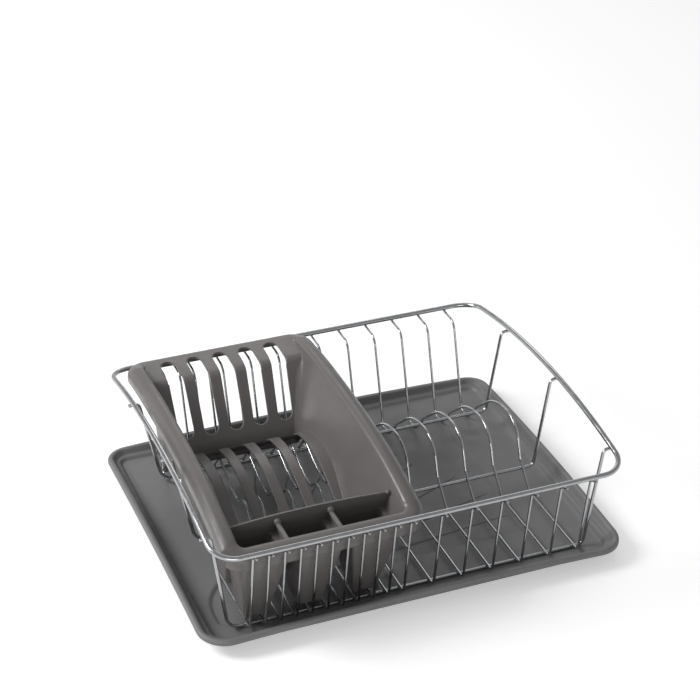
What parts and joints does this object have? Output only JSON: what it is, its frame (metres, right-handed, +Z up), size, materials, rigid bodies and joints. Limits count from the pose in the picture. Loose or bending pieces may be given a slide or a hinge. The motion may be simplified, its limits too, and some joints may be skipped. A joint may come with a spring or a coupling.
{
  "type": "dish drying rack",
  "caption": "Countertop dish drying rack: a chrome wire basket with plate hoops on a drip tray, with a lift-out moulded plate and cutlery caddy",
  "frame": {"origin": "on the ground, under the middle of the drip tray", "axes": "+X along the length of the rack, +Y from its front (cutlery cups) to its back, +Z up"},
  "size_m": [0.508, 0.4181, 0.1574],
  "materials": {
    "tray_plastic": "neutral dark grey moulded plastic, matte",
    "caddy_plastic": "warm dark grey moulded plastic, satin",
    "chrome_wire": "bright chrome-plated steel wire"
  },
  "bodies": {
    "tray": {"drip_tray": "tray_plastic"},
    "basket": {"rim_wire": "chrome_wire", "runner_front": "chrome_wire", "runner_middle": "chrome_wire", "runner_back": "chrome_wire", "saucer_wire_01": "chrome_wire", "saucer_wire_02": "chrome_wire", "saucer_wire_03": "chrome_wire", "saucer_wire_04": "chrome_wire", "saucer_wire_05": "chrome_wire", "saucer_wire_06": "chrome_wire", "saucer_wire_07": "chrome_wire", "saucer_wire_08": "chrome_wire", "saucer_wire_09": "chrome_wire", "saucer_wire_10": "chrome_wire", "plate_hoop_01": "chrome_wire", "plate_hoop_02": "chrome_wire", "plate_hoop_03": "chrome_wire", "plate_hoop_04": "chrome_wire", "plate_hoop_05": "chrome_wire", "plate_hoop_06": "chrome_wire", "plate_hoop_07": "chrome_wire"},
    "caddy": {"caddy_left_side": "caddy_plastic", "caddy_right_side": "caddy_plastic", "caddy_back_wall": "caddy_plastic", "caddy_plate_floor": "caddy_plastic", "caddy_cutlery_shelf": "caddy_plastic", "caddy_cup_left": "caddy_plastic", "caddy_cup_middle": "caddy_plastic", "caddy_cup_right": "caddy_plastic"}
  },
  "joints": [
    {"name": "basket_lift", "type": "slide", "parent": "tray", "child": "basket", "axis": [0, 0, 1], "range_m": [0, 0.13]},
    {"name": "caddy_lift", "type": "slide", "parent": "basket", "child": "caddy", "axis": [-0.0732, 0, 0.9973], "range_m": [0, 0.2186]}
  ]
}
